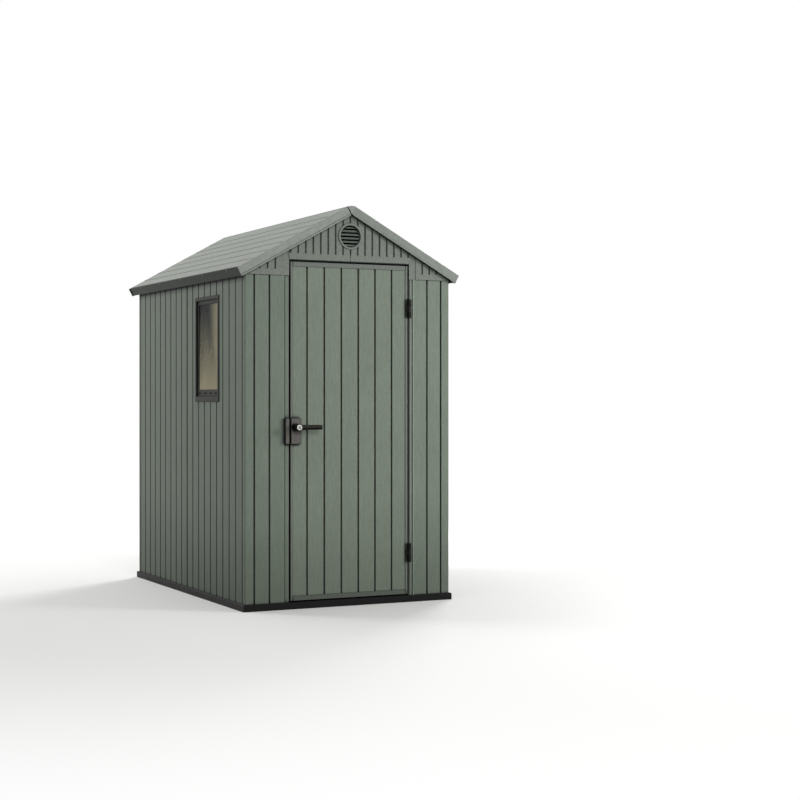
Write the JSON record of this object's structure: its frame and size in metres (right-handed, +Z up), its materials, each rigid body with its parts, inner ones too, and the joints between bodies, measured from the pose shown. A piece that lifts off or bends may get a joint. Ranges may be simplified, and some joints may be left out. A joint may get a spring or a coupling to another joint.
{
  "type": "resin garden shed",
  "caption": "Small gable-roofed resin garden shed with a grooved hinged door, lever lock, side window and round gable vents.",
  "frame": {"origin": "middle of the floor's underside, on the ground", "axes": "+X to the right along the door front, +Y from the front into the depth, +Z up"},
  "size_m": [1.252, 1.9044, 2.0599],
  "materials": {
    "wall_resin": "moulded with an upright wood grain",
    "door_resin": "moulded with an upright wood grain",
    "roof_resin": "moulded with a lengthwise wood grain",
    "trim_resin": "moulded with a lengthwise wood grain",
    "post_resin": "smooth moulded",
    "floor_resin": "smooth moulded",
    "window_resin": "smooth moulded",
    "lock_resin": "smooth moulded",
    "black_resin": "smooth moulded",
    "key_metal": "satin",
    "pin_steel": "drawn bar",
    "beam_steel": "painted",
    "window_pane": "clear sheet"
  },
  "bodies": {
    "shed": {"back_panel_left": "wall_resin", "back_panel_right": "wall_resin", "door_head": "post_resin", "door_post_left": "post_resin", "door_post_right": "post_resin", "eave_fascia_left": "trim_resin", "eave_fascia_right": "trim_resin", "floor": "floor_resin", "front_panel_left": "wall_resin", "front_panel_right": "wall_resin", "gable_back_left": "wall_resin", "gable_back_right": "wall_resin", "gable_front_left": "wall_resin", "gable_front_right": "wall_resin", "hinge_lower_frame": "black_resin", "hinge_lower_pin": "pin_steel", "hinge_upper_frame": "black_resin", "hinge_upper_pin": "pin_steel", "lock_keeper": "lock_resin", "rake_band_back_left": "trim_resin", "rake_band_back_right": "trim_resin", "rake_band_front_left": "trim_resin", "rake_band_front_right": "trim_resin", "ridge_beam": "beam_steel", "ridge_cap": "roof_resin", "roof_left": "roof_resin", "roof_right": "roof_resin", "vent_back": "wall_resin", "vent_front": "wall_resin", "wall_left_back": "wall_resin", "wall_left_front": "wall_resin", "wall_right_back": "wall_resin", "wall_right_front": "wall_resin", "window_frame": "window_resin", "window_glass": "window_pane", "window_sash": "window_resin"},
    "door": {"door_leaf": "door_resin", "hinge_upper_leaf": "black_resin", "hinge_lower_leaf": "black_resin", "lock_case": "lock_resin"},
    "lever": {"lever": "black_resin", "key_cylinder": "key_metal"}
  },
  "joints": [
    {"name": "door_hinge", "type": "hinge", "parent": "shed", "child": "door", "pos_m": [0.33625, -0.8895, 0.9], "axis": [0, 0, 1], "range_deg": [0, 120]},
    {"name": "lever_turn", "type": "hinge", "parent": "door", "child": "lever", "pos_m": [-0.3185, -0.9, 0.923], "axis": [0, 1, 0], "range_deg": [0, 45], "stiffness_Nm_per_rad": 1.2, "springref_deg": -22.92}
  ]
}
